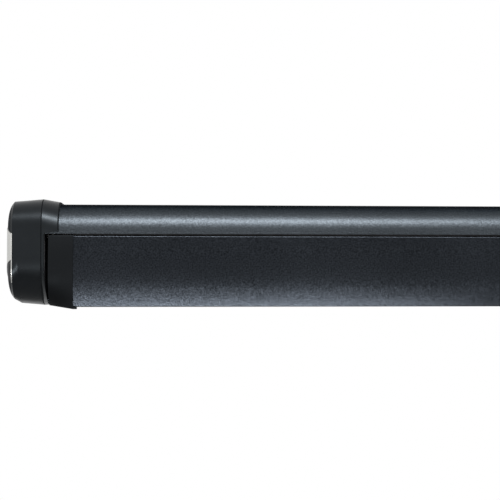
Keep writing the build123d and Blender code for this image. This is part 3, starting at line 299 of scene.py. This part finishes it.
def cast_metal(name, colour, roughness):
    """A painted die casting: pebbled skin, with the paint rubbed thin along its edges."""
    m = Finish(name)
    rounded = m.rounding(0.0006)
    m.set(
        Base_Color=m.mix(m.worn(rounded), m.mottled(m.noise(45, 5), colour, 0.18), undercoat),
        Roughness=m.around(m.noise(120, 3), roughness, 0.06),
        Metallic=0.25,
        Specular_IOR_Level=0.3,
        Normal=m.bump(m.noise(420, 4), 0.22, 0.0004, rounded),
    )
    return m.material


def drawn_metal(name, colour, roughness, stretch, streaks=0.12):
    """Bare or anodised metal, with the streaks that a die or a brush leaves."""
    m = Finish(name)
    lines = m.noise(500, 3, stretch)
    m.set(
        Base_Color=m.mottled(lines, colour, streaks),
        Roughness=m.around(lines, roughness, 0.07),
        Metallic=1.0,
        Normal=m.bump(lines, 0.08, 0.0002, m.rounding(0.0003)),
    )
    return m.material


def rubber(name, colour):
    m = Finish(name)
    m.set(
        Base_Color=m.mottled(m.noise(25, 4), colour, 0.2),
        Roughness=m.spread(m.noise(90, 2), 0.62, 0.78),
        Specular_IOR_Level=0.25,
        Normal=m.bump(m.noise(900, 3), 0.2, 0.0003, m.rounding()),
    )
    return m.material


def woven(name, colour):
    """Coated awning cloth: a plain weave in the sheet's own directions, given by its UVs in metres."""
    m = Finish(name)
    threads = []
    for direction in "XY":
        wave = m.add("ShaderNodeTexWave", wave_type="BANDS", bands_direction=direction,
                     Scale=threads_per_metre * 2 * pi / wave_phase)
        m.feed(wave.inputs["Vector"], m.coords.outputs["UV"])
        threads.append(wave.outputs["Color"])
    weave = m.mix(0.5, *threads)
    slubs = m.mottled(m.noise(60, 4, (1, 6, 6)), colour, 0.14)
    m.set(
        Base_Color=m.mix(0.3, slubs, weave, "SOFT_LIGHT"),
        Roughness=0.78,
        Sheen_Weight=0.25,
        Sheen_Roughness=0.5,
        Specular_IOR_Level=0.25,
        Normal=m.bump(weave, 0.3, 0.0002),
    )
    return m.material


def crescent(name, colour, roughness):
    """The insert's two finishes: a satin crescent with a tail along the cap's rim, and dark inside it."""
    m = Finish(name)
    bright = m.mix(1.0, m.beyond(crescent_direction, crescent_edge), m.further(crescent_tail), "LIGHTEN")
    m.set(
        Base_Color=m.mix(bright, charcoal, m.mottled(m.noise(40, 4), colour, 0.05)),
        Roughness=m.mix(bright, (0.34, 0.34, 0.34), m.around(m.noise(500, 3), roughness, 0.03)),
        Metallic=bright,
        Specular_IOR_Level=0.14,
        Specular_Tint=pale_edge,
        Normal=m.bump(m.noise(700, 2), 0.05, 0.0002, m.rounding()),
    )
    return m.material


recipes = {
    "case_paint": (powder_coat, anthracite, 0.37, 0.35, 0.07),
    # painted shade: a darker copy of the case's paint
    "front_panel": (powder_coat, shaded_front_anthracite, 0.22, 0.6, 0.03),
    "arm_paint": (powder_coat, arm_anthracite, 0.42, 0.3),
    "cap_plastic": (painted_plastic, cap_charcoal, 0.30, 0.24),
    "insert_silver": (crescent, (0.56, 0.56, 0.54), 0.36),
    "black_plastic": (moulded, (0.0030, 0.0031, 0.0034), 0.5, 0.10),
    "lever_plastic": (moulded, (0.05, 0.05, 0.052), 0.45),
    "bearing_nylon": (moulded, (0.55, 0.54, 0.50), 0.4, 0.4, 700, 0.05, 1.1),
    "seal_rubber": (rubber, (0.006, 0.006, 0.0065)),
    "foot_rubber": (rubber, (0.012, 0.012, 0.013)),
    "cast_alloy": (cast_metal, (0.020, 0.021, 0.023), 0.48),
    "bare_alloy": (drawn_metal, (0.60, 0.60, 0.61), 0.34, along_x),
    "leg_alloy": (drawn_metal, (0.50, 0.50, 0.51), 0.32, along_x, 0.08),
    "zinc_steel": (drawn_metal, (0.52, 0.52, 0.55), 0.36, unstretched, 0.10),
    "spring_steel": (drawn_metal, (0.28, 0.28, 0.30), 0.35, coiled),
    "strap_steel": (drawn_metal, (0.40, 0.40, 0.42), 0.38, along_z),
    "gear_brass": (drawn_metal, (0.62, 0.45, 0.18), 0.30, along_x),
    "canopy_fabric": (woven, (0.105, 0.110, 0.120)),
}
finishes = {name: finish(name, *values) for name, (finish, *values) in recipes.items()}
for piece in frame["record"]["subparts"]:
    for material_slot in nodes[piece["node"]].material_slots:
        material_slot.material = finishes[piece["material_slot"]]
# The lead rail's front takes the darker copy of the case's paint: painted shade
nodes["lead_rail_profile"].material_slots[0].material = finishes["front_panel"]


def new_mesh(name, vertices, faces, material, uvs=None, smooth=True):
    """A mesh object in the frame that the CAD has, with UVs given per vertex in metres."""
    mesh = bpy.data.meshes.new(name)
    mesh.from_pydata(vertices, [], faces)
    if uvs:
        layer = mesh.uv_layers.new(name="cloth")
        for loop in mesh.loops:
            layer.data[loop.index].uv = uvs[loop.vertex_index]
    for face in mesh.polygons:
        face.use_smooth = smooth
    mesh.materials.append(finishes[material])
    mesh.update()
    piece = bpy.data.objects.new(name, mesh)
    bpy.context.scene.collection.objects.link(piece)
    return piece


# The end caps' toes: the skin and the ridge's groove go on below the case's end, down to the foot
foot_z = -0.057  # heights are measured from the lead rail's foot
toe_centre, toe_radius = (0.046, 0.0529), 0.052  # depth and height, at the cap's ridge
heel, heel_inset = 0.014, 0.00227
ridge, collar_end = 0.0404, 0.0596
corner_centre, corner_radius = (0.091, 0.008), 0.0054  # at the collar's free end
groove_start, groove_end, groove_depth = 0.0400, 0.0408, 0.0008
notch_edge, notch_sweep, sweep_height = 0.0436, 0.003, 0.036
toe_start, toe_thick, toe_sunk = 0.0369, 0.0012, 0.00003
toe_rows = 49
toe_top, toe_bottom = 14, 76  # degrees down from the front


def toe_point(distance, angle, depth):
    """Depth and height of a point under the cap's skin, by its distance from the awning's end, its angle down
    from the front and how deep under the skin it is.
    """
    if distance < ridge:
        centre, radius = toe_centre, toe_radius - heel_inset * (ridge - distance) / (ridge - heel)
    else:
        share = (distance - ridge) / (collar_end - ridge)
        centre = [a + (b - a) * share for a, b in zip(toe_centre, corner_centre)]
        radius = toe_radius + (corner_radius - toe_radius) * share
    radius -= depth + toe_sunk
    return centre[0] + radius * cos(angle), centre[1] - radius * sin(angle)


def toe_section(angle):
    """The toe's outline at an angle, as (distance from the awning's end, depth) pairs."""
    height = toe_point(notch_edge, angle, 0)[1]
    edge = notch_edge + notch_sweep * max(0, 1 - height / sweep_height) - toe_sunk
    return ((toe_start, 0), (groove_start, 0), (groove_start, groove_depth), (groove_end, groove_depth),
            (groove_end, 0), (edge, 0), (edge, toe_thick), (toe_start, toe_thick))


for side, hand in ((-1, "left"), (1, "right")):
    vertices, faces = [], []
    for i in range(toe_rows):
        angle = radians(toe_top + (toe_bottom - toe_top) * i / (toe_rows - 1))
        for distance, depth in toe_section(angle):
            out, up = toe_point(distance, angle, depth)
            vertices.append((side * (half_length - distance), -out, foot_z + up))
    columns = len(vertices) // toe_rows
    for i in range(toe_rows - 1):
        for j in range(columns):
            a, b = i * columns + j, i * columns + (j + 1) % columns
            faces.append((a, a + columns, b + columns, b))
    faces.append(tuple(range(columns)))
    faces.append(tuple(reversed(range((toe_rows - 1) * columns, toe_rows * columns))))
    if side > 0:
        faces = [tuple(reversed(face)) for face in faces]
    toe = new_mesh(hand + "_cap_toe", vertices, faces, "cap_plastic", smooth=False)
    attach(toe, "cassette")


# Cloth, with its UVs in metres across and along it

feed = Vector(joints["canopy_feed"]["axis"])
cloth_travel = joints["canopy_feed"]["range_m"][1]
strip_low, strip_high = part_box("canopy")
cloth_half_width = strip_high[0]
cloth_thick = 0.0005


def across_cloth(rows, columns, rise):
    """Vertices and UVs of rows carried across the cloth. A row is its y, its z and how far along the cloth it
    is, and rise gives how far a row is lifted at a place across, from -1 to 1.
    """
    vertices, uvs = [], []
    for i, (y, z, along) in enumerate(rows):
        for j in range(columns):
            across = j / (columns - 1) * 2 - 1
            vertices.append((across * cloth_half_width, y, z + rise(i, across)))
            uvs.append((across * cloth_half_width, along))
    return vertices, uvs


def grid_faces(rows, columns, close_rows=False):
    faces = []
    for i in range(rows if close_rows else rows - 1):
        for j in range(columns - 1):
            a = i * columns + j
            b = (i + 1) % rows * columns + j
            faces.append((a, a + 1, b + 1, b))
    return faces


# The canopy: one sheet from under the roll to the lead rail's groove. It is drawn gathered in the short gap that
# it crosses while the awning is shut, with UVs along it for the full length that the rail pulls out.
cloth_start = Vector((0, strip_high[1], strip_high[2]))
cloth_span = (strip_high[1] - strip_low[1]) / -feed.y
cloth_rows, cloth_columns = 73, 61
cloth_sag = 0.003
ripple_share, ripple_phase = 0.25, 9

rows = []
for i in range(cloth_rows):
    t = i / (cloth_rows - 1)
    place = cloth_start + feed * (t * cloth_span)
    rows.append((place.y, place.z - cloth_thick, t * cloth_span + t * t * (3 - 2 * t) * cloth_travel))


def sag(i, across):
    ripple = ripple_share * cos(across * ripple_phase) + 1 - ripple_share
    return -cloth_sag * sin(pi * i / (cloth_rows - 1)) * ripple


vertices, uvs = across_cloth(rows, cloth_columns, sag)
canopy_sheet = new_mesh("canopy_sheet", vertices, grid_faces(cloth_rows, cloth_columns), "canopy_fabric", uvs)
solid = canopy_sheet.modifiers.new("thickness", "SOLIDIFY")
solid.thickness = cloth_thick
solid.offset = 0
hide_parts("canopy")
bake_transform(canopy_sheet)

# The roll: the cloth's spiral, open at its ends, round the tube
roll_low, roll_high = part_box("fabric_roll")
roll_centre = (Vector(roll_low) + Vector(roll_high)) / 2
tube_low, tube_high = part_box("roller_tube")
spiral_inner = (tube_high[2] - tube_low[2]) / 2 + cloth_thick / 4
spiral_growth = (roll_high[1] - roll_low[1]) / 2 - (tube_high[2] - tube_low[2]) / 2 - cloth_thick / 2
spiral_turns = 13.18
spiral_steps = 72
spiral_count = round(spiral_turns * spiral_steps) + 1
spiral_end = -pi / 2 - radians(5)  # where the cloth leaves the roll
roll_columns = 25

rows = []
unrolled = 0.0
for i in range(spiral_count):
    radius = spiral_inner + spiral_growth * i / (spiral_count - 1)
    angle = 2 * pi * (i + 1 - spiral_count) / spiral_steps + spiral_end
    unrolled += radius * 2 * pi / spiral_steps
    rows.append((roll_centre.y - radius * cos(angle), roll_centre.z + radius * sin(angle), unrolled))
vertices, uvs = across_cloth(rows, roll_columns, lambda i, across: 0)
cloth_roll = new_mesh("cloth_roll", vertices, grid_faces(spiral_count, roll_columns), "canopy_fabric", uvs)
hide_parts("fabric_roll")
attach(cloth_roll, "roller")

# The hem: the cloth's edge, sewn round a cord, in the lead rail's groove
hem_low, hem_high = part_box("canopy_keder")
cord_radius = (hem_high[2] - hem_low[2]) / 2
cord_centre = Vector((0, hem_low[1] + cord_radius, (hem_low[2] + hem_high[2]) / 2))
hem_tail = hem_high[1] - cord_centre.y
neck = cloth_thick / cord_radius  # angle from the tail's middle to where it meets the cord
hem_steps = 24
hem_pitch = 0.0008  # along the cloth from one row to the next
hem_columns = 121
pucker_depth, pucker_pitch = 0.00008, 0.006

section = []
for i in range(hem_steps + 1):
    angle = neck + (2 * pi - 2 * neck) * i / hem_steps
    section.append((cord_radius * cos(angle), cord_radius * sin(angle)))
section += [(hem_tail, -cloth_thick), (hem_tail, cloth_thick)]
rows = [(cord_centre.y + out, cord_centre.z + up, i * hem_pitch) for i, (out, up) in enumerate(section)]


def pucker(i, across):
    return pucker_depth * sin(across * cloth_half_width * 2 * pi / pucker_pitch)


vertices, uvs = across_cloth(rows, hem_columns, pucker)
faces = grid_faces(len(rows), hem_columns, close_rows=True)
faces.append(tuple(i * hem_columns for i in range(len(rows))))
faces.append(tuple((i + 1) * hem_columns - 1 for i in reversed(range(len(rows)))))
canopy_hem = new_mesh("canopy_hem", vertices, faces, "canopy_fabric", uvs)
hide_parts("canopy_keder")
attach(canopy_hem, "lead_rail")


# Studio: a pale floor below, where the ground would be, soft lamps and a white background

floor_drop = 2.45
floor_out = 1.5
floor_size = 8.0
ambient_level = 0.18
lamps = {  # place, what it is aimed at, size and watts
    "key": ((-0.85, -1.7338, 2.0362), (-0.85, -0.08, 0.03), (1.7, 0.45), 82),
    "low_fill": ((-0.93, -2.92, -1.06), (-0.93, -0.097, -0.05), (1.6, 0.1), 34),
    "left_fill": ((-4.2, -1.6, 0.6), (-1.3, -0.05, 0), (1.6, 1.6), 8),
}

for name, (place, target, size, power) in lamps.items():
    lamp = bpy.data.lights.new(name, "AREA")
    lamp.shape = "RECTANGLE"
    lamp.size, lamp.size_y = size
    lamp.energy = power
    holder = bpy.data.objects.new(name, lamp)
    bpy.context.scene.collection.objects.link(holder)
    holder.location = place
    holder.rotation_euler = (Vector(target) - Vector(place)).to_track_quat("-Z", "Y").to_euler()
    holder.visible_camera = False

bpy.ops.mesh.primitive_plane_add(size=floor_size, location=(0, -floor_out, -floor_drop))
floor = bpy.context.object
floor.name = "floor"
floor_paint = Finish("floor_paint")
floor_paint.set(Base_Color=floor_paint.spread(floor_paint.noise(3, 3), 0.80, 0.84), Roughness=0.9)
floor.data.materials.append(floor_paint.material)

# The world is white to the camera, in gloss and through glass, and lights the object at a lower level
world = bpy.data.worlds.new("studio")
bpy.context.scene.world = world
world.use_nodes = True
sky = Tree(world.node_tree)
sky.tree.nodes.clear()
rays = sky.add("ShaderNodeLightPath").outputs
seen = sky.math("MAXIMUM", rays["Is Camera Ray"], rays["Is Glossy Ray"])
seen = sky.math("MAXIMUM", seen, rays["Is Transmission Ray"])
choice = sky.add("ShaderNodeMixShader")
sky.feed(choice.inputs[0], seen)
for socket, level in zip(choice.inputs[1:], (ambient_level, 1.0)):
    sky.feed(socket, sky.add("ShaderNodeBackground", Color=(1, 1, 1, 1), Strength=level).outputs[0])
sky.feed(sky.add("ShaderNodeOutputWorld").inputs["Surface"], choice.outputs[0])

# Camera, at the photograph's viewing angle
rail_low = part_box("lead_rail_profile")[0]
camera_data = bpy.data.cameras.new("camera")
camera_data.sensor_width = sensor_width
camera_data.lens = focal_pixels / image_size * sensor_width
camera_data.clip_end = 50
camera = bpy.data.objects.new("camera", camera_data)
bpy.context.scene.collection.objects.link(camera)
camera.location = (camera_x, rail_low[1] - camera_distance, rail_low[2] + horizon_height)
turned = atan((image_size / 2 - perpendicular_x) / focal_pixels)
raised = atan((horizon_y - image_size / 2) / focal_pixels)
camera.rotation_euler = (pi / 2 + raised, 0, -turned)
bpy.context.scene.camera = camera
bpy.context.scene.view_settings.view_transform = "Standard"
